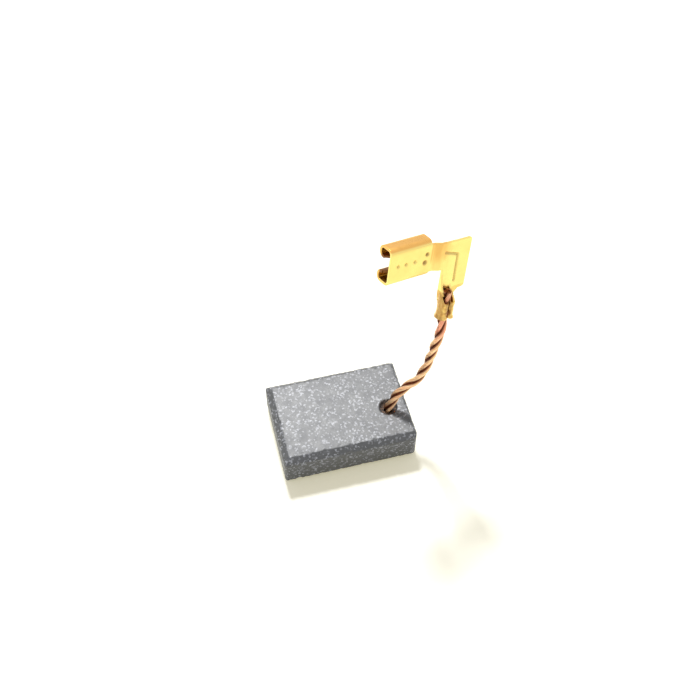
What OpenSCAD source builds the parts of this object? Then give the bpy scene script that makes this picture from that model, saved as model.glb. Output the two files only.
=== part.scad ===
// Carbon brush for a motor: a graphite block with chamfered edges, a stranded
// copper shunt tamped into a hole in its upper face, and a stamped brass flag
// receptacle crimped on the other end of the shunt.
// Origin: middle of the block's underside. X runs along the block from the
// contact end toward the shunt end, Y across it, Z up through its thickness.
// All sizes are in millimetres.

/* [Carbon block] */
// length from the contact end to the shunt end
block_len = 22.5; // [20:0.5:30]
// width of the broad faces
block_wide = 16; // [13:0.5:20]
// thickness between the two broad faces
block_thick = 6.3; // [5.8:0.1:8]
// chamfer along the two upper long edges and the upper contact edge
upper_chamfer = 0.95; // [0.4:0.05:1.3]
// chamfer along all the lower edges
lower_chamfer = 0.8; // [0.4:0.05:1.3]
// narrow chamfer on the upper edge of the shunt end
tail_chamfer = 0.35; // [0.15:0.05:0.8]
// corner radius in plan at the contact end
contact_corner_r = 0.5; // [0.2:0.1:1.2]
// corner radius in plan at the shunt end
tail_corner_r = 0.9; // [0.2:0.1:1.6]

/* [Shunt seat] */
// diameter of the blind hole that takes the shunt
hole_d = 2.6; // [2.4:0.1:3]
// carbon left below the hole
hole_floor = 1.5; // [1:0.1:2.2]
// hole centre from the shunt end
hole_inset = 3.3; // [2.8:0.1:5]
// hole centre from the block's middle line, toward the front
hole_offset = 1.4; // [0:0.1:3]
// diameter of the conical mouth at the face
crater_d = 3.1; // [3:0.1:3.8]
// depth of the conical mouth
crater_deep = 0.6; // [0.3:0.05:0.9]

/* [Shunt] */
// diameter over the strands
shunt_d = 1.6; // [1.4:0.05:1.9]

/* [Receptacle] */
// thickness of the brass sheet
sheet_t = 0.4; // [0.3:0.05:0.45]
// length of the two curled sides
recept_len = 7.2; // [6:0.1:8.5]
// width over the two curled sides
recept_wide = 5.8; // [5.6:0.1:7]
// height from the floor's outer face to the top of the curls
recept_tall = 2.75; // [2.5:0.05:3.2]
// width of one curl
curl_wide = 1.9; // [1.7:0.05:2]
// room for the mating tab between floor and lips
tab_gap = 0.8; // [0.5:0.1:0.9]
// step between the receptacle's floor and the flag plate
jog = 0.5; // [0.3:0.05:0.7]
// width of the neck behind the receptacle
neck_wide = 4.5; // [3.8:0.1:4.8]
// length of the neck
neck_len = 2.2; // [1.8:0.1:3]

/* [Flag plate and crimp] */
// width of the flag plate
leg_wide = 4.8; // [4:0.1:6]
// height of the plate's top edge above the mouth of the crimp
leg_top = 12.4; // [12.4:0.1:14]
// distance from the shunt's axis to the plate's inner edge
leg_inner = 1; // [0.8:0.05:1.2]
// length of the crimp barrel
barrel_len = 4.2; // [3.6:0.1:4.6]
// shunt end left standing above the barrel
end_show = 0.3; // [0.2:0.1:1.2]
// width of the pressed groove in the plate
groove_w = 0.5; // [0.3:0.05:0.6]

/* [Hidden] */
$fn = 48;
eps = 0.01;

// shunt seat
seat = [block_len/2 - hole_inset, -hole_offset, block_thick];
powder_top = block_thick - crater_deep;
shunt_r = shunt_d/2;
shunt_flat = shunt_r*cos(22.5);

// how the flag stands: leaned back, pitched and turned about the vertical
flag_turn = [-11.5, 13.5, 18];
flag_reach = 6.9;    // crimp's mouth beyond the hole, along the block
flag_front = 1.6;    // and toward the front
flag_height = 24.1;  // and above the upper face
flag_at = seat + [flag_reach, -flag_front, flag_height];
function about_x(v, a) = [v[0], v[1]*cos(a) - v[2]*sin(a), v[1]*sin(a) + v[2]*cos(a)];
function about_y(v, a) = [v[0]*cos(a) + v[2]*sin(a), v[1], v[2]*cos(a) - v[0]*sin(a)];
function about_z(v, a) = [v[0]*cos(a) - v[1]*sin(a), v[0]*sin(a) + v[1]*cos(a), v[2]];
function turned(v) = about_z(about_y(about_x(v, flag_turn[0]), flag_turn[1]), flag_turn[2]);
flag_up = turned([0, 0, 1]);
flag_back = turned([0, 1, 0]);

// centre line of the shunt from the bottom of its hole to the top of the crimp
route = [
  [seat[0], seat[1], hole_floor + 0.3],
  [seat[0], seat[1], powder_top],
  [seat[0], seat[1], powder_top + 0.3],
  seat + [1.25, 0, 2.9],
  seat + [2.6, -0.1, 4.9],
  seat + [4.2, -0.3, 6.6],
  seat + [5.3, -0.5, 9.1],
  seat + [5.9, -0.7, 11.9],
  seat + [6.2, -1.1, 14.9],
  seat + [6.5, -1.5, 18],
  seat + [6.8, -1.8, 21],
  flag_at - flag_up,
  flag_at - 0.4*flag_up,
  flag_at + 0.5*flag_up,
  flag_at + (barrel_len + end_show)*flag_up
];
last = len(route) - 1;
function unit(v) = v/norm(v);
function along(i) = unit(route[min(i + 1, last)] - route[max(i - 1, 0)]);
function ring(i) = let (t = along(i), u = unit(cross(flag_back, t)), w = cross(t, u))
  [for (k = [0:7]) route[i] + shunt_r*(cos(45*k + 22.5)*u + sin(45*k + 22.5)*w)];
seat_side = unit(cross(flag_back, [0, 0, 1]));

// flag sheet: planes and stations in its own frame, shunt axis on Z
face_y = shunt_flat;
floor_y = face_y + jog;
neck_x = -leg_inner - neck_len;
mouth_x = neck_x - recept_len;
curl_r = 0.45*curl_wide;
slot_z = leg_top - neck_wide/2 + 0.05;
crimp_wall = 0.8*sheet_t;   // the die thins the wings as it closes them
barrel_r = shunt_r + crimp_wall;
lobe_r = 0.52*barrel_r;
lobe_x = 0.45*barrel_r;
lobe_y = -0.52*barrel_r;

// ---------------------------------------------------------------- block

module corner_round(r) {
  difference() {
    square(r + eps);
    circle(r);
  }
}

module block_plan() {
  half_l = block_len/2;
  half_w = block_wide/2;
  difference() {
    translate([-half_l, -half_w]) square([block_len, block_wide]);
    for (s = [-1, 1]) {
      translate([half_l - tail_corner_r, s*(half_w - tail_corner_r)])
        mirror([0, s < 0 ? 1 : 0]) corner_round(tail_corner_r);
      translate([-half_l + contact_corner_r, s*(half_w - contact_corner_r)])
        mirror([1, 0]) mirror([0, s < 0 ? 1 : 0]) corner_round(contact_corner_r);
    }
  }
}

// outline seen from the front: both lower edges, the upper contact edge and
// the upper edge of the shunt end cut back
module block_side() {
  half_l = block_len/2;
  polygon([
    [-half_l + lower_chamfer, 0], [half_l - lower_chamfer, 0],
    [half_l, lower_chamfer], [half_l, block_thick - tail_chamfer],
    [half_l - tail_chamfer, block_thick], [-half_l + upper_chamfer, block_thick],
    [-half_l, block_thick - upper_chamfer], [-half_l, lower_chamfer]
  ]);
}

// section across the block with its four long edges cut back
module block_section() {
  half_w = block_wide/2;
  polygon([
    [-half_w + lower_chamfer, 0], [half_w - lower_chamfer, 0],
    [half_w, lower_chamfer], [half_w, block_thick - upper_chamfer],
    [half_w - upper_chamfer, block_thick], [-half_w + upper_chamfer, block_thick],
    [-half_w, block_thick - upper_chamfer], [-half_w, lower_chamfer]
  ]);
}

module carbon_block() {
  color([0.36, 0.37, 0.38])
  difference() {
    intersection() {
      linear_extrude(block_thick) block_plan();
      translate([0, block_wide/2, 0]) rotate([90, 0, 0])
        linear_extrude(block_wide) block_side();
      translate([-block_len/2, 0, 0]) rotate([90, 0, 90])
        linear_extrude(block_len) block_section();
    }
    translate([seat[0], seat[1], hole_floor]) cylinder(h = block_thick, d = hole_d);
    translate([seat[0], seat[1], powder_top])
      cylinder(h = crater_deep, d1 = hole_d, d2 = crater_d);
    translate([seat[0], seat[1], block_thick - eps]) cylinder(h = 1, d = crater_d);
  }
}

// ---------------------------------------------------------------- shunt seat

// eight-sided room that the shunt leaves in the powder
module shunt_room(h) {
  rotate([0, 0, atan2(seat_side[1], seat_side[0]) + 22.5])
    linear_extrude(h) circle(r = shunt_r, $fn = 8);
}

// contact powder tamped round the shunt, dished where the punch pressed it
module tamped_powder() {
  color([0.2, 0.17, 0.15])
  difference() {
    translate([seat[0], seat[1], hole_floor])
      cylinder(h = powder_top - hole_floor, d = hole_d);
    translate([seat[0], seat[1], hole_floor + 0.3]) shunt_room(block_thick);
    translate([seat[0], seat[1], powder_top - 0.2])
      cylinder(h = 0.2 + eps, r1 = shunt_r + 0.08, r2 = hole_d/2 - 0.05);
  }
}

// ---------------------------------------------------------------- shunt

module shunt_wire() {
  color([0.84, 0.5, 0.3])
  polyhedron(
    points = [for (i = [0:last]) each ring(i)],
    faces = concat(
      [[for (k = [0:7]) k]],
      [[for (k = [7:-1:0]) 8*last + k]],
      [for (i = [0:last - 1], k = [0:7]) [8*i + k, 8*i + 8 + k, 8*i + 8 + (k + 1)%8]],
      [for (i = [0:last - 1], k = [0:7]) [8*i + k, 8*i + 8 + (k + 1)%8, 8*i + (k + 1)%8]]
    ),
    convexity = 6
  );
}

// ---------------------------------------------------------------- terminal

module soft_box(w, h, r) {
  translate([r, 0]) square([w - 2*r, h]);
  translate([0, r]) square([w, h - 2*r]);
  for (x = [r, w - r], y = [r, h - r]) translate([x, y]) circle(r);
}

// one curled side, drawn across the sheet: x is depth from the outer face of
// the floor, y is distance from the middle line
module curl_section() {
  inner_y = recept_wide/2 - curl_wide;
  difference() {
    translate([0, inner_y]) soft_box(recept_tall, curl_wide, curl_r);
    translate([sheet_t, inner_y + sheet_t])
      soft_box(recept_tall - 2*sheet_t, curl_wide - 2*sheet_t, curl_r - sheet_t);
    translate([sheet_t, inner_y - 0.1]) square([tab_gap, curl_wide/2 + 0.1]);
  }
}

module recept_section() {
  reach = recept_wide/2 - curl_r;
  translate([0, -reach]) square([sheet_t, 2*reach]);
  curl_section();
  mirror([0, 1]) curl_section();
}

// sloping cut that opens the lips at the mouth
module lip_lead() {
  rise = 0.9;
  translate([mouth_x - eps, floor_y + sheet_t, slot_z - recept_wide/2 + curl_r])
    linear_extrude(recept_wide - 2*curl_r)
      polygon([[0, 0], [0, tab_gap + rise], [rise, tab_gap], [rise, 0]]);
}

// small pit pressed in the outer face of the sheet, with its bump behind
module pip(x, z, r, deep) {
  translate([x, floor_y - eps, z]) rotate([-90, 0, 0])
    cylinder(h = deep + eps, r1 = r, r2 = 0.4*r);
}

module receptacle() {
  stop_x = neck_x - 0.7;
  difference() {
    union() {
      translate([mouth_x, floor_y, slot_z]) rotate([90, 0, 90])
        linear_extrude(recept_len) recept_section();
      // stops for the tab, pressed inward behind the curls
      for (z = [-0.7, 0.7])
        translate([stop_x, floor_y + sheet_t - eps, slot_z + z]) rotate([-90, 0, 0])
          cylinder(h = 0.25 + eps, r1 = 0.45, r2 = 0.25);
    }
    lip_lead();
    for (i = [0:2]) pip(mouth_x + 1.65 + 1.5*i, slot_z - 0.1, 0.32, 0.15);
    for (z = [-0.7, 0.7]) pip(stop_x, slot_z + z, 0.42, 0.22);
  }
}

// the neck steps the sheet from the receptacle's floor to the flag plate
module neck() {
  x0 = neck_x - eps;
  x1 = neck_x + 0.2*neck_len;
  x2 = -leg_inner - 0.25*neck_len;
  x3 = -leg_inner + eps;
  translate([0, 0, slot_z - neck_wide/2])
    linear_extrude(neck_wide)
      polygon([
        [x0, floor_y], [x1, floor_y], [x2, face_y], [x3, face_y],
        [x3, face_y + sheet_t], [x2 + 0.1, face_y + sheet_t],
        [x1 + 0.1, floor_y + sheet_t], [x0, floor_y + sheet_t]
      ]);
}

module plate_outline() {
  right = leg_wide - leg_inner;
  foot = barrel_len - 0.2;
  difference() {
    polygon([
      [-leg_inner, leg_top], [right, leg_top - 0.1], [right, foot],
      [0.7*right, foot - 0.1], [0.5*right, foot - 0.9], [0.9*barrel_r, foot - 1],
      [0.6*barrel_r, foot - 2], [-0.6*barrel_r, foot - 2], [-leg_inner, foot - 0.5]
    ]);
    translate([right - 0.4, leg_top - 0.5]) corner_round(0.4);
    translate([right - 0.4, foot + 0.4]) mirror([0, 1]) corner_round(0.4);
  }
}

// path of the pressed groove in the plate, from beside the neck down to
// above the crimp
groove_deep = 0.45*sheet_t;
groove_x = 0.55*(leg_wide - leg_inner) - groove_w;
groove_in = 0.4;
groove_low = 1.3;
groove_path = [
  [-leg_inner + groove_in, slot_z + 0.1*neck_wide], [groove_x - 0.1, slot_z - 0.05*neck_wide],
  [groove_x, barrel_len + groove_low]
];

module groove_line(w) {
  for (i = [0:1]) {
    a = groove_path[i];
    d = groove_path[i + 1] - a;
    translate(a) rotate(atan2(d[1], d[0])) translate([0, -w/2]) square([norm(d), w]);
  }
  for (p = groove_path) translate(p) circle(d = w);
}

// the groove is pressed through the sheet: sunk in front, standing out behind
module flag_plate() {
  difference() {
    union() {
      translate([0, face_y + sheet_t, 0]) rotate([90, 0, 0])
        linear_extrude(sheet_t) plate_outline();
      translate([0, face_y + sheet_t + groove_deep, 0]) rotate([90, 0, 0])
        linear_extrude(groove_deep + eps) groove_line(groove_w + 0.1);
    }
    translate([0, face_y + groove_deep, 0]) rotate([90, 0, 0])
      linear_extrude(groove_deep + eps) groove_line(groove_w);
  }
}

// section of the closed crimp: the sheet behind, a wall each side and the two
// wings rolled in so that they meet over the strands
module crimp_section() {
  intersection() {
    circle(barrel_r);
    translate([-barrel_r, -barrel_r]) square([2*barrel_r, barrel_r + face_y + sheet_t]);
  }
  for (s = [-1, 1]) translate([s*lobe_x, lobe_y]) circle(lobe_r);
}

module crimp() {
  bell = 0.5;
  flare = 0.15;
  inner_rise = 3.2;
  outer_rise = 1.1;
  difference() {
    union() {
      linear_extrude(barrel_len) crimp_section();
      cylinder(h = bell, r1 = barrel_r + flare, r2 = barrel_r);
      // shoulders where the side walls run out into the plate: a long low
      // flange on the inner side, a short one beside the open corner
      translate([-leg_inner, 0, barrel_len - 0.3]) rotate([90, 0, 90])
        linear_extrude(crimp_wall)
          polygon([[face_y + sheet_t/2, 0], [-0.3*barrel_r, 0],
                   [-0.1*barrel_r, 0.15*inner_rise], [0.4*face_y, 0.35*inner_rise],
                   [0.73*face_y, 0.7*inner_rise], [face_y, inner_rise],
                   [face_y + sheet_t/2, inner_rise]]);
      translate([barrel_r - 1.1*crimp_wall, 0, barrel_len - 0.3]) rotate([90, 0, 90])
        linear_extrude(crimp_wall)
          polygon([[face_y + sheet_t/2, 0], [-0.3*barrel_r, 0], [0.45*face_y, 0.55*outer_rise],
                   [face_y, outer_rise], [face_y + sheet_t/2, outer_rise]]);
    }
    rotate([0, 0, 22.5]) translate([0, 0, -shunt_d])
      linear_extrude(barrel_len + inner_rise + shunt_d) circle(r = shunt_r, $fn = 8);
    translate([0, 0, -eps])
      cylinder(h = bell, r1 = shunt_r + flare, r2 = shunt_r - 0.05);
  }
}

module terminal() {
  color([0.88, 0.72, 0.34])
  translate(flag_at) rotate(flag_turn) {
    receptacle();
    neck();
    flag_plate();
    crimp();
  }
}

carbon_block();
tamped_powder();
shunt_wire();
terminal();
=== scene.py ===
from math import cos, pi, radians, sin, sqrt, tau

import bmesh
import bpy
from mathutils import Euler, Matrix, Vector, noise
from mathutils.geometry import interpolate_bezier
from mathutils.kdtree import KDTree


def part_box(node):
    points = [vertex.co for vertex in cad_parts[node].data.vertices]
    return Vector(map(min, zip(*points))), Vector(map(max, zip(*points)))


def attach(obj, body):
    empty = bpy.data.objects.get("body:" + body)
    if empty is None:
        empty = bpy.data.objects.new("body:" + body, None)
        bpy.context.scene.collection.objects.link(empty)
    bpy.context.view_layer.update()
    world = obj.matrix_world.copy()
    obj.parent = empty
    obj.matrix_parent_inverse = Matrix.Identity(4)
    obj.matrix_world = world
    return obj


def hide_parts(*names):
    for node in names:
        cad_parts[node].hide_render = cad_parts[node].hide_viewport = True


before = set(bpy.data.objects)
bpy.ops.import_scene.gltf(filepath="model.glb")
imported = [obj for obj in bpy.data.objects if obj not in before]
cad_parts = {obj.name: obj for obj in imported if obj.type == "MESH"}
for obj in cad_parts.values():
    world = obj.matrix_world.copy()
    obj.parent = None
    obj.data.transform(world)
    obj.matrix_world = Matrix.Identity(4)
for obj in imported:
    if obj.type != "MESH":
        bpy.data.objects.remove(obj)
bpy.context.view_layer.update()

mm = 0.001
print("frame loaded:", sorted(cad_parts))

# Everything below is modelled in millimetres and brought to metres when it is
# finished. The block's and the powder's boxes come from the frame.
blockLow, blockHigh = [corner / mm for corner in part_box("carbon_block")]
powderLow, powderHigh = [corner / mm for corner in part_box("tamped_powder")]
layout = {
    "holeInset": 3.3, "holeOffset": 1.4,          # from the block's end and middle line
    "flagReach": (6.9, -1.6, 24.1),               # hole's mouth to the crimp's lower end
    "flagTilt": (-11.5, 13.5, 18),                # degrees
}
seat = Vector((blockHigh.x - layout["holeInset"], -layout["holeOffset"], blockHigh.z))
flagAt = seat + Vector(layout["flagReach"])
flagTurn = Euler([radians(a) for a in layout["flagTilt"]])
flagPlace = Matrix.Translation(flagAt) @ flagTurn.to_matrix().to_4x4()
flagUp = flagTurn.to_matrix() @ Vector((0, 0, 1))


view = {
    "place": (-0.02186, -0.08597, 0.14211),
    "azimuth": 15.22,      # degrees from +Y toward +X
    "elevation": 53.31,    # looking down
    "roll": 0.94,
    "lens": 49.73,
}


def makeCamera():
    data = bpy.data.cameras.new("camera")
    data.lens = view["lens"]
    data.sensor_width = 36
    data.clip_start = 0.005
    data.clip_end = 10
    camera = bpy.data.objects.new("camera", data)
    bpy.context.collection.objects.link(camera)
    turn = (Matrix.Rotation(-radians(view["azimuth"]), 4, "Z")
            @ Matrix.Rotation(radians(90 - view["elevation"]), 4, "X")
            @ Matrix.Rotation(radians(view["roll"]), 4, "Z"))
    camera.matrix_world = Matrix.Translation(view["place"]) @ turn
    bpy.context.scene.camera = camera


makeCamera()


def setInputs(node, **values):
    for name, value in values.items():
        node.inputs[name.replace("_", " ")].default_value = value


def finishPiece(name, mesh, material, slot, *nodes):
    # millimetres to metres, then in place of the CAD nodes
    mesh.transform(Matrix.Scale(mm, 4))
    mesh.materials.clear()
    mesh.materials.append(material)
    piece = bpy.data.objects.new(name, mesh)
    bpy.context.collection.objects.link(piece)
    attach(piece, "root")
    if nodes:
        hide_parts(*nodes)
    return piece


def meshFrom(bm, name):
    bmesh.ops.recalc_face_normals(bm, faces=bm.faces)
    mesh = bpy.data.meshes.new(name)
    bm.to_mesh(mesh)
    bm.free()
    return mesh


def throughModifiers(mesh, name, *settings):
    # runs modifiers on a scratch object and gives back the resulting mesh
    scratch = bpy.data.objects.new(name + "Scratch", mesh)
    bpy.context.collection.objects.link(scratch)
    for kind, values in settings:
        modifier = scratch.modifiers.new(kind, kind)
        for key, value in values.items():
            setattr(modifier, key, value)
    graph = bpy.context.evaluated_depsgraph_get()
    result = bpy.data.meshes.new_from_object(scratch.evaluated_get(graph))
    bpy.data.objects.remove(scratch)
    result.name = name
    return result


def smoothStep(low, high, x):
    t = min(max((x - low) / (high - low), 0), 1)
    return t * t * (3 - 2 * t)


def newGroup(name, inputs, outputs):
    group = bpy.data.node_groups.new(name, "ShaderNodeTree")
    for socket, kind, value in inputs:
        entry = group.interface.new_socket(name=socket, in_out="INPUT", socket_type=kind)
        if value is not None:
            entry.default_value = value
    for socket, kind in outputs:
        group.interface.new_socket(name=socket, in_out="OUTPUT", socket_type=kind)
    return group, group.nodes.new("NodeGroupInput"), group.nodes.new("NodeGroupOutput")


def noiseNode(tree, vector, scale, detail=3, roughness=0.5, distortion=0):
    node = tree.nodes.new("ShaderNodeTexNoise")
    setInputs(node, Scale=scale, Detail=detail, Roughness=roughness, Distortion=distortion)
    tree.links.new(vector, node.inputs["Vector"])
    return node


def rampNode(tree, source, stops):
    node = tree.nodes.new("ShaderNodeValToRGB")
    ramp = node.color_ramp
    while len(ramp.elements) < len(stops):
        ramp.elements.new(0.5)
    for element, (place, colour) in zip(ramp.elements, stops):
        element.position = place
        element.color = (*colour, 1) if len(colour) == 3 else (*(colour * 3), 1)
    tree.links.new(source, node.inputs["Fac"])
    return node


def mixNode(tree, factor, first, second, blend="MIX"):
    node = tree.nodes.new("ShaderNodeMix")
    node.data_type = "RGBA"
    node.blend_type = blend
    for socket, source in ((node.inputs["Factor"], factor), (node.inputs[6], first),
                           (node.inputs[7], second)):
        if isinstance(source, bpy.types.NodeSocket):
            tree.links.new(source, socket)
        elif socket.type == "RGBA":
            socket.default_value = (*source, 1)
        else:
            socket.default_value = source
    return node.outputs[2]


def mathNode(tree, operation, first, second=None, clamp=False):
    node = tree.nodes.new("ShaderNodeMath")
    node.operation = operation
    node.use_clamp = clamp
    for socket, source in zip(node.inputs, (first, second)):
        if isinstance(source, bpy.types.NodeSocket):
            tree.links.new(source, socket)
        elif source is not None:
            socket.default_value = source
    return node.outputs[0]


# fine grain: small bright flecks on soft blotches, for the pressed powders
def makeGrainGroup():
    group, start, end = newGroup("pressedGrain", [
        ("Vector", "NodeSocketVector", None), ("Fleck Scale", "NodeSocketFloat", 5000),
        ("Blotch Scale", "NodeSocketFloat", 500)], [
        ("Flecks", "NodeSocketFloat"), ("Blotches", "NodeSocketFloat"),
        ("Height", "NodeSocketFloat")])
    cells = group.nodes.new("ShaderNodeTexVoronoi")
    group.links.new(start.outputs["Vector"], cells.inputs["Vector"])
    group.links.new(start.outputs["Fleck Scale"], cells.inputs["Scale"])
    single = group.nodes.new("ShaderNodeSeparateColor")
    group.links.new(cells.outputs["Color"], single.inputs[0])
    flecks = rampNode(group, single.outputs[0], [(0.72, (0.0,)), (1.0, (1.0,))])
    blotches = noiseNode(group, start.outputs["Vector"], 500, detail=4, roughness=0.6)
    group.links.new(start.outputs["Blotch Scale"], blotches.inputs["Scale"])
    fine = noiseNode(group, start.outputs["Vector"], 6000, detail=2)
    group.links.new(start.outputs["Fleck Scale"], fine.inputs["Scale"])
    height = mathNode(group, "ADD", fine.outputs["Fac"],
                      mathNode(group, "MULTIPLY", single.outputs[1], 0.5))
    group.links.new(flecks.outputs["Color"], end.inputs["Flecks"])
    group.links.new(blotches.outputs["Fac"], end.inputs["Blotches"])
    group.links.new(height, end.inputs["Height"])
    return group


# handling marks on bare metal: cloudy tarnish and hair scratches
def makeTarnishGroup():
    group, start, end = newGroup("tarnish", [
        ("Vector", "NodeSocketVector", None), ("Cloud Scale", "NodeSocketFloat", 500),
        ("Scratch Scale", "NodeSocketFloat", 2500)], [
        ("Clouds", "NodeSocketFloat"), ("Scratches", "NodeSocketFloat"),
        ("Height", "NodeSocketFloat")])
    clouds = noiseNode(group, start.outputs["Vector"], 500, detail=4, roughness=0.6)
    group.links.new(start.outputs["Cloud Scale"], clouds.inputs["Scale"])
    stretch = group.nodes.new("ShaderNodeMapping")
    stretch.inputs["Scale"].default_value = (0.06, 1, 1)
    group.links.new(start.outputs["Vector"], stretch.inputs["Vector"])
    scratch = noiseNode(group, stretch.outputs["Vector"], 2500, detail=3, roughness=0.7)
    group.links.new(start.outputs["Scratch Scale"], scratch.inputs["Scale"])
    lines = rampNode(group, scratch.outputs["Fac"], [(0.56, (0.0,)), (0.72, (1.0,))])
    softClouds = rampNode(group, clouds.outputs["Fac"], [(0.35, (0.0,)), (0.7, (1.0,))])
    group.links.new(softClouds.outputs["Color"], end.inputs["Clouds"])
    group.links.new(lines.outputs["Color"], end.inputs["Scratches"])
    height = mathNode(group, "ADD", clouds.outputs["Fac"],
                      mathNode(group, "MULTIPLY", scratch.outputs["Fac"], 0.6))
    group.links.new(height, end.inputs["Height"])
    return group


grainGroup = makeGrainGroup()
tarnishGroup = makeTarnishGroup()


def startMaterial(name):
    material = bpy.data.materials.new(name)
    material.use_nodes = True
    tree = material.node_tree
    shader = tree.nodes["Principled BSDF"]
    coords = tree.nodes.new("ShaderNodeTexCoord")
    return material, tree, shader, coords.outputs["Object"]


def placeGroup(tree, group, vector, **values):
    node = tree.nodes.new("ShaderNodeGroup")
    node.node_tree = group
    tree.links.new(vector, node.inputs["Vector"])
    setInputs(node, **values)
    return node


def addBump(tree, shader, height, strength, distance):
    bump = tree.nodes.new("ShaderNodeBump")
    setInputs(bump, Strength=strength, Distance=distance)
    tree.links.new(height, bump.inputs["Height"])
    tree.links.new(bump.outputs["Normal"], shader.inputs["Normal"])
    return bump


def roughBetween(tree, shader, source, limits):
    # roughness from the first limit to the second, as the source goes from 0 to 1
    spread = tree.nodes.new("ShaderNodeMapRange")
    setInputs(spread, To_Min=limits[0], To_Max=limits[1])
    tree.links.new(source, spread.inputs["Value"])
    tree.links.new(spread.outputs["Result"], shader.inputs["Roughness"])


def attributeNode(tree, name):
    node = tree.nodes.new("ShaderNodeAttribute")
    node.attribute_name = name
    return node.outputs["Fac"]


graphite = {
    "dark": (0.018, 0.021, 0.020), "light": (0.075, 0.078, 0.088), "fleck": (0.34, 0.35, 0.38),
    "ior": 1.8, "fleckScale": 3600, "blotchScale": 700, "rough": (0.42, 0.62),
}


def graphiteMaterial():
    material, tree, shader, place = startMaterial("graphite")
    grain = placeGroup(tree, grainGroup, place, Fleck_Scale=graphite["fleckScale"],
                       Blotch_Scale=graphite["blotchScale"])
    body = mixNode(tree, grain.outputs["Blotches"], graphite["dark"], graphite["light"])
    flecked = mixNode(tree, grain.outputs["Flecks"], body, graphite["fleck"])
    tree.links.new(flecked, shader.inputs["Base Color"])
    roughBetween(tree, shader, grain.outputs["Blotches"], graphite["rough"])
    shader.inputs["IOR"].default_value = graphite["ior"]
    addBump(tree, shader, grain.outputs["Height"], 0.5, 0.00003)
    return material


powder = {
    "dark": (0.02, 0.016, 0.014), "light": (0.09, 0.07, 0.06), "fleck": (0.35, 0.2, 0.12),
    "fleckScale": 7000, "blotchScale": 1500, "rough": 0.75,
}


def powderMaterial():
    material, tree, shader, place = startMaterial("contactPowder")
    grain = placeGroup(tree, grainGroup, place, Fleck_Scale=powder["fleckScale"],
                       Blotch_Scale=powder["blotchScale"])
    body = mixNode(tree, grain.outputs["Blotches"], powder["dark"], powder["light"])
    flecked = mixNode(tree, grain.outputs["Flecks"], body, powder["fleck"])
    tree.links.new(flecked, shader.inputs["Base Color"])
    shader.inputs["Roughness"].default_value = powder["rough"]
    addBump(tree, shader, grain.outputs["Height"], 0.9, 0.00006)
    return material


# deep: the colour of the painted shade between the ropes
copper = {
    "bright": (1.0, 0.80, 0.50), "dull": (0.86, 0.50, 0.26), "deep": (0.22, 0.06, 0.025),
    "rose": (0.80, 0.30, 0.21), "rough": (0.28, 0.45),
}


def copperMaterial():
    material, tree, shader, place = startMaterial("bareCopper")
    marks = placeGroup(tree, tarnishGroup, place, Cloud_Scale=900, Scratch_Scale=6000)
    shade = attributeNode(tree, "wireShade")
    depth = attributeNode(tree, "depth")
    body = mixNode(tree, shade, copper["dull"], copper["bright"])
    rosy = mathNode(tree, "MULTIPLY", attributeNode(tree, "rose"), 0.75)
    heated = mathNode(tree, "MAXIMUM", rosy,
                      mathNode(tree, "MULTIPLY", marks.outputs["Clouds"], 0.3))
    clouded = mixNode(tree, heated, body, copper["rose"])
    # painted shade between the ropes, in the deep colour
    coloured = mixNode(tree, depth, clouded, copper["deep"])
    tree.links.new(coloured, shader.inputs["Base Color"])
    shader.inputs["Metallic"].default_value = 1
    roughBetween(tree, shader, marks.outputs["Clouds"], copper["rough"])
    addBump(tree, shader, marks.outputs["Height"], 0.2, 0.00001)
    return material


# the warm colour serves the painted orange shade of the bends and tarnish; the deep colour serves
# painted shade
brass = {
    "bright": (0.93, 0.74, 0.25), "warmShadeAndTarnish": (0.80, 0.44, 0.12), "deep": (0.20, 0.085, 0.03),
    "scratch": (0.75, 0.52, 0.2), "rough": (0.24, 0.4),
}


def brassMaterial():
    material, tree, shader, place = startMaterial("stampedBrass")
    marks = placeGroup(tree, tarnishGroup, place, Cloud_Scale=450, Scratch_Scale=2600)
    warmShadeAndTarnish = attributeNode(tree, "bendShadeAndTarnish")
    deep = attributeNode(tree, "depth")
    # the orange: painted shade of the bends plus tarnish clouds
    bendShadeAndTarnish = mathNode(tree, "ADD", warmShadeAndTarnish,
                      mathNode(tree, "MULTIPLY", marks.outputs["Clouds"], 0.12), clamp=True)
    body = mixNode(tree, bendShadeAndTarnish, brass["bright"], brass["warmShadeAndTarnish"])
    # painted shade in the terminal's hollows, in the deep colour
    shadedBody = mixNode(tree, deep, body, brass["deep"])
    scratched = mixNode(tree, mathNode(tree, "MULTIPLY", marks.outputs["Scratches"], 0.15),
                        shadedBody, brass["scratch"])
    tree.links.new(scratched, shader.inputs["Base Color"])
    shader.inputs["Metallic"].default_value = 1
    roughBetween(tree, shader, marks.outputs["Clouds"], brass["rough"])
    addBump(tree, shader, marks.outputs["Height"], 0.15, 0.00003)
    return material


# the same points as the CAD route, in millimetres
shuntRoute = [
    Vector((seat.x, seat.y, powderLow.z + 0.3)),
    Vector((seat.x, seat.y, powderHigh.z)),
    Vector((seat.x, seat.y, powderHigh.z + 0.3)),
    seat + Vector((1.25, 0, 2.9)),
    seat + Vector((2.6, -0.1, 4.9)),
    seat + Vector((4.2, -0.3, 6.6)),
    seat + Vector((5.3, -0.5, 9.1)),
    seat + Vector((5.9, -0.7, 11.9)),
    seat + Vector((6.2, -1.1, 14.9)),
    seat + Vector((6.5, -1.5, 18)),
    seat + Vector((6.8, -1.8, 21)),
    flagAt - flagUp,
    flagAt - 0.4 * flagUp,
    flagAt + 0.5 * flagUp,
    flagAt + 4.5 * flagUp,
]

shunt = {
    "radius": 0.8, "ropes": 3, "lay": 11,           # three ropes laid right-handed
    "wires": 15, "wireRadius": 0.064, "wireLay": 6.5,
    "step": 0.3, "loose": 0.018,
}


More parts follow.
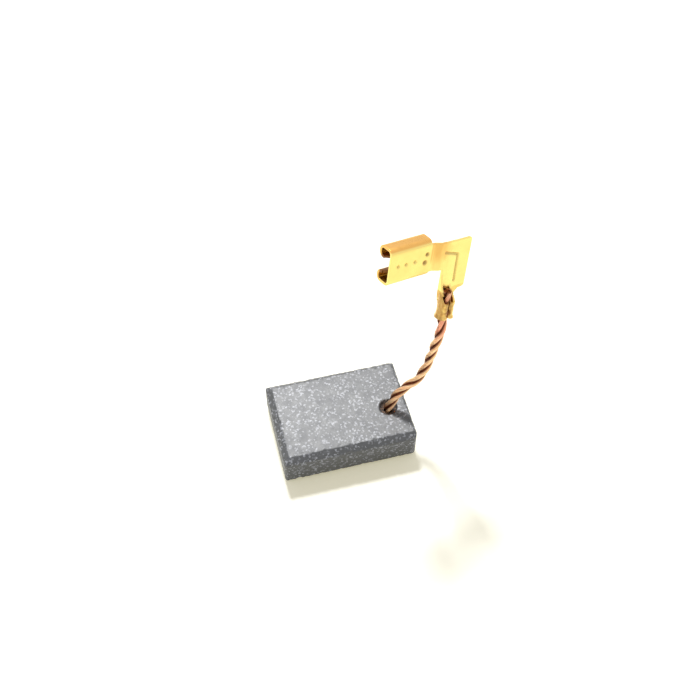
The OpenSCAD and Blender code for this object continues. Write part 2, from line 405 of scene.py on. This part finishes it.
def smoothPath(points, step):
    # one smooth line through the points, with a sample about every step
    path = []
    for i in range(len(points) - 1):
        before, a, b = points[max(i - 1, 0)], points[i], points[i + 1]
        after = points[min(i + 2, len(points) - 1)]
        reach = (b - a).length / 3
        handleA = a + (b - before).normalized() * reach
        handleB = b - (after - a).normalized() * reach
        count = max(2, round((b - a).length / step)) + 1
        path += interpolate_bezier(a, handleA, handleB, b, count)[:-1]
    return path + [points[-1]]


def carriedFrames(path):
    # a side direction at each sample, carried along without twisting
    side = Vector((1, 0, 0))
    frames = []
    for i, point in enumerate(path):
        ahead = path[min(i + 1, len(path) - 1)] - path[max(i - 1, 0)]
        ahead.normalize()
        side = (side - side.dot(ahead) * ahead).normalized()
        frames.append((point, side.copy(), ahead.cross(side)))
    return frames


def addWire(curve, points):
    spline = curve.splines.new("POLY")
    spline.points.add(len(points) - 1)
    for target, point in zip(spline.points, points):
        target.co = (*point, 1)


def wireMesh(name, wires, sides):
    # wires are (points, radius, wire tone, painted shade), each a closed round wire
    mesh = bmesh.new()
    shadeLayer = mesh.verts.layers.float.new("wireShade")
    depthLayer = mesh.verts.layers.float.new("depth")
    for points, radius, shade, depth in wires:
        curve = bpy.data.curves.new("wire", "CURVE")
        curve.dimensions = "3D"
        curve.bevel_depth = radius
        curve.bevel_resolution = (sides - 4) // 2
        curve.use_fill_caps = True
        addWire(curve, points)
        holder = bpy.data.objects.new("wire", curve)
        part = bpy.data.meshes.new_from_object(holder)
        first = len(mesh.verts)
        mesh.from_mesh(part)
        mesh.verts.ensure_lookup_table()
        for vert in mesh.verts[first:]:
            vert[shadeLayer] = shade
            vert[depthLayer] = depth
        bpy.data.objects.remove(holder)
        bpy.data.curves.remove(curve)
        bpy.data.meshes.remove(part)
    result = bpy.data.meshes.new(name)
    mesh.to_mesh(result)
    mesh.free()
    result.shade_smooth()
    return result


def layRope(frames, travelled):
    wires = []
    ropes = shunt["ropes"]
    ropeRadius = shunt["radius"] / (1 + 1 / sin(pi / ropes))
    centre = shunt["radius"] - ropeRadius
    ring = ropeRadius - shunt["wireRadius"]
    for k in range(ropes):
        core = []
        strands = [[] for _ in range(shunt["wires"])]
        for (point, side, across), s in zip(frames, travelled):
            a = tau * (k / ropes + s / shunt["lay"])
            wander = 0.02 * noise.noise(Vector((7 * k, 0, 0.35 * s)))
            middle = point + (centre + wander) * (cos(a) * side + sin(a) * across)
            core.append(middle)
            for j, strand in enumerate(strands):
                b = tau * (j / shunt["wires"] + s / shunt["wireLay"])
                shift = Vector((31 * k + 3.1 * j, 0.4 * s, 0))
                b += 0.22 * noise.noise(shift)
                r = ring + shunt["loose"] * noise.noise(shift + Vector((0, 0, 9)))
                strand.append(middle + r * (cos(b) * side + sin(b) * across))
        # each rope's core wire is painted dull and dark, as painted shade inside the rope
        wires.append((core, ropeRadius - 1.9 * shunt["wireRadius"], 0.2, 0.9))
        for j, strand in enumerate(strands):
            shade = 0.5 + 0.9 * noise.noise(Vector((k * 5.3, j * 1.7, 2)))
            wires.append((strand, shunt["wireRadius"], min(max(shade, 0), 1), 0))
    return wires


def paintRope(mesh, path):
    # the dark between the ropes is painted shade; rose: the pink heat mark below the crimp
    tree = KDTree(len(path))
    for i, point in enumerate(path):
        tree.insert(point, i)
    tree.balance()
    depth = mesh.attributes["depth"]
    rose = mesh.attributes.new("rose", "FLOAT", "POINT")
    for vert in mesh.vertices:
        near, i, _ = tree.find(vert.co)
        ahead = (path[min(i + 1, len(path) - 1)] - path[max(i - 1, 0)]).normalized()
        off = vert.co - near
        out = (off - off.dot(ahead) * ahead).length
        hollow = 1 - smoothStep(0.5, 0.74, out)
        depth.data[vert.index].value = max(depth.data[vert.index].value, hollow)
        rose.data[vert.index].value = 1 - smoothStep(2, 7, (near - flagAt).length)


def makeShunt(material):
    path = smoothPath(shuntRoute, shunt["step"])
    travelled = [0]
    for a, b in zip(path, path[1:]):
        travelled.append(travelled[-1] + (b - a).length)
    mesh = wireMesh("shuntRope", layRope(carriedFrames(path), travelled), 6)
    paintRope(mesh, path)
    piece = finishPiece("shuntRope", mesh, material, "copper", "shunt_wire")
    print("shunt rope:", len(piece.data.polygons), "faces,", round(travelled[-1], 1), "mm")
    return piece, [point * mm for point in path], travelled[-1] * mm


copperFinish = copperMaterial()
shuntPiece, shuntPath, shuntLength = makeShunt(copperFinish)

# made in its own frame: shunt's axis on Z, plate facing -Y, receptacle to -X
terminal = {
    "sheet": 0.4, "face": 0.8 * cos(radians(22.5)), "jog": 0.5,
    "mouthX": -10.4, "neckX": -3.2, "innerX": -1.0, "outerX": 3.8,
    "slotZ": 10.2, "top": 12.4, "foot": 4.0,
    "wide": 5.8, "tall": 2.75, "curlWide": 1.9, "curlRadius": 0.855, "tabGap": 0.8,
    "neckWide": 4.5, "corner": 0.4,
    "barrel": 4.2, "barrelRadius": 1.12, "wall": 0.32, "lobe": 0.56, "flare": 0.15,
    "groove": [(-0.95, 10.76), (1.49, 9.975), (1.59, 5.5)], "grooveWide": 0.28, "pressed": 0.18,
    "pips": [(-8.95, 10.3, 0.36), (-7.55, 10.3, 0.38), (-6.0, 10.3, 0.38)],
    "stops": [(-4.15, 9.7, 0.55), (-3.9, 11.0, 0.46)],
    "voxel": 0.06, "keep": 0.4,
}


def sheetEdge(bm, start, end, cuts):
    # a straight edge of the sheet, cut into equal lengths
    edge = bm.edges.new([bm.verts.new(start), bm.verts.new(end)])
    bmesh.ops.subdivide_edges(bm, edges=[edge], cuts=cuts)
    return bm.edges[:]


def edgesOf(geom):
    return [item for item in geom if isinstance(item, bmesh.types.BMEdge)]


def moveNew(bm, made, vector):
    # moves what an extrude made, and gives its points
    verts = [item for item in made if isinstance(item, bmesh.types.BMVert)]
    bmesh.ops.translate(bm, verts=verts, vec=vector)
    return verts


def runOn(bm, edges, vector):
    # carries the sheet straight on and gives its new edge
    made = bmesh.ops.extrude_edge_only(bm, edges=edges)["geom"]
    verts = moveNew(bm, made, vector)
    return [e for e in edgesOf(made) if e.verts[0] in verts and e.verts[1] in verts]


def foldOn(bm, edges, centre, axis, angle, steps=8):
    # carries the sheet on round a bend and gives its new edge
    made = bmesh.ops.spin(bm, geom=edges, cent=centre, axis=axis, angle=radians(angle),
                          steps=steps, use_merge=False, use_duplicate=False)
    return edgesOf(made["geom_last"])


def thicken(bm, outward, thickness):
    # gives the sheet its thickness behind the side that faces outward
    bmesh.ops.recalc_face_normals(bm, faces=bm.faces)
    bm.faces.ensure_lookup_table()
    if bm.faces[0].normal.dot(outward) < 0:
        bmesh.ops.reverse_faces(bm, faces=bm.faces)
    bmesh.ops.solidify(bm, geom=bm.faces[:], thickness=thickness)
    return bm


def addPart(target, bm):
    # joins one finished solid to the others
    bmesh.ops.recalc_face_normals(bm, faces=bm.faces)
    holder = bpy.data.meshes.new("part")
    bm.to_mesh(holder)
    bm.free()
    target.from_mesh(holder)
    bpy.data.meshes.remove(holder)


def curledSide(side):
    # half the receptacle's floor and one curl, folded from its outer face
    t = terminal
    floor, radius = t["face"] + t["jog"], t["curlRadius"]
    flat = t["wide"] / 2 - radius
    z = t["slotZ"] + side * flat
    inner = t["curlWide"] - 2 * radius
    over = (0, floor + t["tall"] - radius, z)
    bm = bmesh.new()
    edges = sheetEdge(bm, (t["mouthX"], floor, t["slotZ"]), (t["neckX"], floor, t["slotZ"]), 40)
    edges = runOn(bm, edges, (0, 0, side * flat))
    edges = foldOn(bm, edges, (0, floor + radius, z), (1, 0, 0), -side * 90)
    edges = runOn(bm, edges, (0, t["tall"] - 2 * radius, 0))
    edges = foldOn(bm, edges, over, (1, 0, 0), -side * 90)
    edges = runOn(bm, edges, (0, 0, -side * inner))
    edges = foldOn(bm, edges, Vector(over) - Vector((0, 0, side * inner)), (1, 0, 0), -side * 90)
    lip = t["tall"] - radius - t["sheet"] - t["tabGap"]
    edges = runOn(bm, edges, (0, -lip, 0))
    # the lip opens toward the mouth
    for vert in {v for e in edges for v in e.verts}:
        vert.co.y += 0.5 * (1 - smoothStep(0, 1, vert.co.x - t["mouthX"]))
    return thicken(bm, Vector((0, -1, 0)), t["sheet"])


def flatOutline(points, y, thickness):
    # an upright plate from its outline, given as x and z
    bm = bmesh.new()
    face = bm.faces.new([bm.verts.new((x, y, z)) for x, z in points])
    moveNew(bm, bmesh.ops.extrude_face_region(bm, geom=[face])["geom"], (0, thickness, 0))
    return bm


def roundCorner(bm, corners, radius):
    # rounds the plate's corners at the given x and z
    edges = [e for e in bm.edges if abs(e.verts[0].co.y - e.verts[1].co.y) > 0.1
             and any((Vector((e.verts[0].co.x, e.verts[0].co.z)) - Vector(c)).length < 0.01
                     for c in corners)]
    bmesh.ops.bevel(bm, geom=edges, offset=radius, offset_type="OFFSET", segments=5,
                    profile=0.5, affect="EDGES", material=-1)


def flagPlate():
    t = terminal
    right, foot, r = t["outerX"], t["foot"], t["barrelRadius"]
    topRight, lowRight = (right, t["top"] - 0.1), (right, foot)
    bm = flatOutline([
        (t["innerX"] - 0.05, t["top"]), topRight, lowRight, (0.7 * right, foot - 0.1),
        (0.5 * right, foot - 0.9), (0.9 * r, foot - 1), (0.6 * r, foot - 2),
        (-0.6 * r, foot - 2), (t["innerX"], foot - 0.5),
        (t["innerX"], t["slotZ"] - t["neckWide"] / 2)], t["face"], t["sheet"])
    roundCorner(bm, [topRight, lowRight], t["corner"])
    return bm


def neckStrip():
    # steps from the receptacle's floor down to the plate
    t = terminal
    low, high = t["slotZ"] - t["neckWide"] / 2, t["slotZ"] + t["neckWide"] / 2
    bm = bmesh.new()
    edges = sheetEdge(bm, (t["neckX"] - 0.1, t["face"] + t["jog"], low),
                      (t["neckX"] - 0.1, t["face"] + t["jog"], high), 8)
    for step in ((0.54, 0, 0), (0.15, -0.03, 0), (0.9, -0.44, 0), (0.15, -0.03, 0), (0.7, 0, 0)):
        edges = runOn(bm, edges, step)
    return thicken(bm, Vector((0, -1, 0)), t["sheet"])


def crimpWing(side):
    # half of the closed crimp: round the strands from behind, then rolled in
    t = terminal
    r, lobe = t["barrelRadius"], t["lobe"]
    bm = bmesh.new()
    edges = sheetEdge(bm, (0, r, 0), (0, r, t["barrel"]), 26)
    edges = foldOn(bm, edges, (0, 0, 0), (0, 0, 1), -side * 90, 10)
    edges = runOn(bm, edges, (0, lobe - r + 0.02, 0))
    edges = foldOn(bm, edges, (side * (r - lobe), lobe - r + 0.02, 0), (0, 0, 1), -side * 150, 12)
    edges = runOn(bm, edges, (side * -0.02, 0.3, 0))
    for vert in bm.verts:
        # both ends open out, the lower one more, and the rolls stop short of the top
        mouth = 1 - smoothStep(0, 0.7, vert.co.z)
        top = smoothStep(t["barrel"] - 2.6, t["barrel"], vert.co.z)
        out = Vector((vert.co.x, vert.co.y, 0)).normalized()
        vert.co += out * (t["flare"] * 1.4 * mouth + 0.05 * top)
        front = 1 - smoothStep(-1.1, 0.4, vert.co.y)
        vert.co.z += 0.2 * mouth * front - 1.25 * top * front
    return thicken(bm, Vector((0, 1, 0)), t["wall"])


def shoulder(x, points):
    # low flange where a wing's root runs out into the plate
    bm = bmesh.new()
    face = bm.faces.new([bm.verts.new((x, y, z)) for y, z in points])
    made = bmesh.ops.extrude_face_region(bm, geom=[face])["geom"]
    moveNew(bm, made, (terminal["wall"], 0, 0))
    return bm


def nearPath(points, x, z):
    # distance from the line through the points, in the plate's plane
    best = 9
    here = Vector((x, z))
    for a, b in zip(points, points[1:]):
        a, b = Vector(a), Vector(b)
        t = min(max((here - a).dot(b - a) / (b - a).length_squared, 0), 1)
        best = min(best, (here - a.lerp(b, t)).length)
    return best


def pressMarks(mesh):
    # pushes the groove, the row of pips and the stops through the sheet
    t = terminal
    for vert in mesh.vertices:
        x, y, z = vert.co
        if z < t["foot"] + 0.5 or y > t["face"] + t["jog"] + t["sheet"] + 0.1:
            continue
        if x > t["innerX"]:
            d = nearPath(t["groove"], x, z) / t["grooveWide"]
            vert.co.y += t["pressed"] * (1 - smoothStep(0.25, 1.05, d))
        for px, pz, r in t["pips"] + t["stops"]:
            d = sqrt((x - px) ** 2 + (z - pz) ** 2) / r
            if d < 1:
                vert.co.y += 0.2 * (1 - smoothStep(0.1, 1, d))


def roughenCrimp(mesh):
    # the die leaves the barrel uneven
    t = terminal
    for vert in mesh.vertices:
        low = 1 - smoothStep(t["barrel"] - 0.3, t["barrel"] + 0.3, vert.co.z)
        if low > 0:
            out = Vector((vert.co.x, vert.co.y, 0)).normalized()
            rough = noise.noise(vert.co * 2.2) * 0.07 + noise.noise(vert.co * 5) * 0.03
            vert.co += out * rough * low


def paintTerminal(mesh):
    # orange: painted shade and reflection on the curls and the neck's bend, with random tarnish on
    # the barrel; dark: painted shade where light hardly reaches
    t = terminal
    floor = t["face"] + t["jog"]
    bendShadeAndTarnish = mesh.attributes.new("bendShadeAndTarnish", "FLOAT", "POINT")
    depth = mesh.attributes.new("depth", "FLOAT", "POINT")
    for vert in mesh.vertices:
        x, y, z = vert.co
        warmShadeAndTarnish = dark = 0
        curl = abs(z - t["slotZ"])
        if x < t["neckX"] + 0.05:
            # painted orange shade on the curls, full on the upper one and half on the lower one
            warmShadeAndTarnish = smoothStep(2.35, 2.7, curl) * (1 if z > t["slotZ"] else 0.5)
            # painted shade inside the rolls
            inside = smoothStep(0.35, 0.6, y - floor) * smoothStep(0.3, 0.7, t["tall"] - y + floor)
            dark = inside * smoothStep(0.35, 0.7, t["wide"] / 2 - curl)
            # painted orange shade on the rolls' far sides
            warmShadeAndTarnish = max(warmShadeAndTarnish, smoothStep(1.2, 2.4, y - floor) * 0.8)
        elif z > t["barrel"] + 0.5 and x < t["innerX"] + 1:
            # painted orange reflection on the neck's bend
            warmShadeAndTarnish = 0.75 * (1 - smoothStep(t["innerX"] - 0.3, t["innerX"] + 1.3, x))
            warmShadeAndTarnish *= smoothStep(t["slotZ"] - 1.6, t["slotZ"] + 0.6, z + noise.noise(vert.co))
        elif z < t["barrel"] + 0.3:
            radius = sqrt(x * x + y * y)
            # random tarnish on the barrel
            warmShadeAndTarnish = 0.5 + 0.4 * noise.noise(vert.co * 2)
            # painted shade on the rolled-in wings, along the seam and on the left lip
            dark = 0.9 - 0.9 * smoothStep(0.75, 1.05, radius)
            middle = (1 - smoothStep(0.3, 1.0, abs(x + 0.1))) * smoothStep(0.3, 0.9, z)
            dark = max(dark, middle * (0.75 + 0.5 * noise.noise(vert.co * 1.9)))
            dark = max(dark, 0.6 * (1 - smoothStep(-1.15, -0.8, x)))
        if x > t["innerX"] and z > t["foot"] + 0.5:
            # painted shade in the pressed groove
            near = nearPath(t["groove"], x, z)
            dark = max(dark, 0.5 * (1 - smoothStep(0.05, 0.28, near)) if y < floor else 0)
        # painted shade in the pips and stops
        for px, pz, r in t["pips"] + t["stops"]:
            d = sqrt((x - px) ** 2 + (z - pz) ** 2) / r
            dark = max(dark, (0.75 if r > 0.4 else 0.35) * (1 - smoothStep(0.3, 1, d)))
        bendShadeAndTarnish.data[vert.index].value = min(max(warmShadeAndTarnish, 0), 1)
        depth.data[vert.index].value = min(max(dark, 0), 1)


def makeTerminal(material):
    t = terminal
    joined = bmesh.new()
    for side in (-1, 1):
        addPart(joined, curledSide(side))
        addPart(joined, crimpWing(side))
    addPart(joined, neckStrip())
    addPart(joined, flagPlate())
    back = t["face"] + t["sheet"] / 2
    base = t["barrel"] - 0.3
    addPart(joined, shoulder(t["innerX"], [
        (back, base), (-0.34, base), (-0.11, base + 0.48), (0.3, base + 1.12),
        (0.54, base + 2.24), (t["face"], base + 3.2), (back, base + 3.2)]))
    addPart(joined, shoulder(t["barrelRadius"] - 0.35, [
        (back, base), (-0.34, base), (0.33, base + 0.6), (t["face"], base + 1.1),
        (back, base + 1.1)]))
    mesh = meshFrom(joined, "terminalParts")
    mesh = throughModifiers(mesh, "flagTerminal",
                            ("REMESH", {"mode": "VOXEL", "voxel_size": t["voxel"]}),
                            ("SMOOTH", {"factor": 0.5, "iterations": 2}))
    pressMarks(mesh)
    roughenCrimp(mesh)
    mesh = throughModifiers(mesh, "flagTerminal", ("DECIMATE", {"ratio": t["keep"]}))
    paintTerminal(mesh)
    mesh.shade_smooth()
    mesh.transform(flagPlace)
    piece = finishPiece("flagTerminal", mesh, material, "brass", "terminal")
    print("terminal:", len(mesh.polygons), "faces")
    return piece


block = {
    "upper": 0.95, "lower": 0.8, "tail": 0.35, "contactCorner": 0.5, "tailCorner": 0.9,
    "hole": 2.6, "crater": 3.1, "craterDeep": 0.6, "voxel": 0.13, "keep": 0.35, "chip": 0.28,
}


def cutCorner(bm, point, normal):
    # planes off one edge of the block
    geom = bm.verts[:] + bm.edges[:] + bm.faces[:]
    cut = bmesh.ops.bisect_plane(bm, geom=geom, plane_co=point, plane_no=normal,
                                 clear_outer=True, dist=1e-5)
    rim = edgesOf(cut["geom_cut"])
    bmesh.ops.contextual_create(bm, geom=rim)


def blockSolid():
    low, high = blockLow, blockHigh
    size = high - low
    bm = bmesh.new()
    bmesh.ops.create_cube(bm, size=1)
    bmesh.ops.scale(bm, vec=size, verts=bm.verts)
    bmesh.ops.translate(bm, vec=(low + high) / 2, verts=bm.verts)
    for side, radius in ((-1, block["contactCorner"]), (1, block["tailCorner"])):
        upright = [e for e in bm.edges if abs(e.verts[0].co.z - e.verts[1].co.z) > 1
                   and e.verts[0].co.x * side > 0]
        bmesh.ops.bevel(bm, geom=upright, offset=radius, offset_type="OFFSET", segments=6,
                        profile=0.5, affect="EDGES", material=-1)
    for x, y, z, c in ((0, -1, 1, block["upper"]), (0, 1, 1, block["upper"]),
                       (-1, 0, 1, block["upper"]), (1, 0, 1, block["tail"]),
                       (0, -1, -1, block["lower"]), (0, 1, -1, block["lower"]),
                       (-1, 0, -1, block["lower"]), (1, 0, -1, block["lower"])):
        corner = Vector((x * high.x, y * high.y, high.z if z > 0 else low.z))
        cutCorner(bm, corner - Vector((0, 0, z * c)), (x, y, z))
    return meshFrom(bm, "blockSolid")


def holeCutter():
    # the blind hole and its conical mouth, as one turned solid
    bm = bmesh.new()
    r, crater, deep = block["hole"] / 2, block["crater"] / 2, block["craterDeep"]
    points = [(0, powderLow.z), (r, powderLow.z), (r, seat.z - deep), (crater, seat.z),
              (crater, seat.z + 1), (0, seat.z + 1)]
    verts = [bm.verts.new((x, 0, z)) for x, z in points]
    for a, b in zip(verts, verts[1:]):
        bm.edges.new((a, b))
    bmesh.ops.spin(bm, geom=bm.verts[:] + bm.edges[:], cent=(0, 0, 0), axis=(0, 0, 1),
                   angle=tau, steps=64, use_merge=True)
    bmesh.ops.remove_doubles(bm, verts=bm.verts, dist=1e-4)
    bmesh.ops.translate(bm, vec=(seat.x, seat.y, 0), verts=bm.verts)
    return meshFrom(bm, "holeCutter")


def edgeNearness(co):
    # 1 on the block's corners and edges, falling to 0 within half a millimetre
    low, high = blockLow, blockHigh
    fromFaces = sorted((high.x - abs(co.x), high.y - abs(co.y), high.z - co.z, co.z - low.z))
    slant = []
    for d1, d2, c in ((high.y - abs(co.y), high.z - co.z, block["upper"]),
                      (high.x + co.x, high.z - co.z, block["upper"]),
                      (high.x - co.x, high.z - co.z, block["tail"]),
                      (high.y - abs(co.y), co.z - low.z, block["lower"]),
                      (high.x + co.x, co.z - low.z, block["lower"]),
                      (high.x - co.x, co.z - low.z, block["lower"])):
        slant.append((d1 + d2 - c) / sqrt(2))
    planes = sorted([max(d, 0) for d in slant + list(fromFaces)])
    return 1 - smoothStep(0, 0.5, planes[1])


def chipBlock(mesh):
    # wears the edges unevenly
    middle = (blockLow + blockHigh) / 2
    for vert in mesh.vertices:
        near = edgeNearness(vert.co)
        if near > 0.05:
            chip = max(noise.noise(vert.co * 1.3) - 0.05, 0) + 0.5 * max(
                noise.noise(vert.co * 4.1) - 0.1, 0)
            inward = (middle - vert.co)
            inward.x *= 0.3
            vert.co += inward.normalized() * block["chip"] * chip * near


def makeBlock(material):
    mesh = blockSolid()
    cutter = bpy.data.objects.new("holeCutter", holeCutter())
    bpy.context.collection.objects.link(cutter)
    mesh = throughModifiers(mesh, "carbonBody",
                            ("BOOLEAN", {"object": cutter, "solver": "EXACT"}),
                            ("REMESH", {"mode": "VOXEL", "voxel_size": block["voxel"]}),
                            ("SMOOTH", {"factor": 0.4, "iterations": 2}))
    bpy.data.objects.remove(cutter)
    chipBlock(mesh)
    mesh = throughModifiers(mesh, "carbonBody", ("DECIMATE", {"ratio": block["keep"]}))
    mesh.shade_smooth()
    finishPiece("carbonBody", mesh, material, "graphite", "carbon_block")
    print("block:", len(mesh.polygons), "faces")


graphiteFinish = graphiteMaterial()
powderFinish = powderMaterial()
brassFinish = brassMaterial()
terminalPiece = makeTerminal(brassFinish)
makeBlock(graphiteFinish)
for slotItem in bpy.data.objects["tamped_powder"].material_slots:
    slotItem.material = powderFinish


studio = {
    "table": (0.85, 0.85, 0.83), "tableGlow": (0.34, 0.31, 0.18),
    "ambient": (0.42, 0.42, 0.43), "backdrop": (1, 1, 1),
    "key": {"place": (0, 0.26, 0.43), "aim": (0, 0, 0), "size": 0.07, "power": 2.6,
            "colour": (1, 1, 1)},
    "fill": {"place": (-0.1, -0.35, 0.4), "aim": (0, 0, 0.01), "size": 0.3, "power": 0.1,
             "colour": (1, 0.98, 0.95)},
}


def seenRays(tree):
    # 1 for the rays that look at the background, 0 for those that light the object
    path = tree.nodes.new("ShaderNodeLightPath")
    return mathNode(tree, "MAXIMUM", path.outputs["Is Camera Ray"],
                    mathNode(tree, "MAXIMUM", path.outputs["Is Glossy Ray"],
                             path.outputs["Is Transmission Ray"]))


def makeFloor():
    bm = bmesh.new()
    bmesh.ops.create_grid(bm, x_segments=1, y_segments=1, size=2)
    mesh = bpy.data.meshes.new("floor")
    bm.to_mesh(mesh)
    bm.free()
    floor = bpy.data.objects.new("floor", mesh)
    bpy.context.collection.objects.link(floor)
    material = bpy.data.materials.new("paleTable")
    material.use_nodes = True
    tree = material.node_tree
    tree.nodes.clear()
    out = tree.nodes.new("ShaderNodeOutputMaterial")
    matt = tree.nodes.new("ShaderNodeBsdfDiffuse")
    matt.inputs["Color"].default_value = (*studio["table"], 1)
    glow = tree.nodes.new("ShaderNodeEmission")
    glow.inputs["Color"].default_value = (*studio["tableGlow"], 1)
    tree.links.new(seenRays(tree), glow.inputs["Strength"])
    both = tree.nodes.new("ShaderNodeAddShader")
    tree.links.new(matt.outputs[0], both.inputs[0])
    tree.links.new(glow.outputs[0], both.inputs[1])
    tree.links.new(both.outputs[0], out.inputs["Surface"])
    mesh.materials.append(material)


def makeLamp(name, place, aim, size, power, colour):
    data = bpy.data.lights.new(name, "AREA")
    data.shape = "SQUARE"
    data.size = size
    data.energy = power
    data.color = colour
    lamp = bpy.data.objects.new(name, data)
    bpy.context.collection.objects.link(lamp)
    direction = Vector(aim) - Vector(place)
    lamp.matrix_world = (Matrix.Translation(place)
                         @ direction.to_track_quat("-Z", "Y").to_matrix().to_4x4())


def makeWorld():
    world = bpy.data.worlds.new("studio")
    world.use_nodes = True
    tree = world.node_tree
    back = tree.nodes["Background"]
    tone = mixNode(tree, seenRays(tree), studio["ambient"], studio["backdrop"])
    tree.links.new(tone, back.inputs["Color"])
    back.inputs["Strength"].default_value = 1
    bpy.context.scene.world = world


makeFloor()
makeLamp("keyLamp", **studio["key"])
makeLamp("fillLamp", **studio["fill"])
makeWorld()
bpy.context.scene.view_settings.view_transform = "Standard"
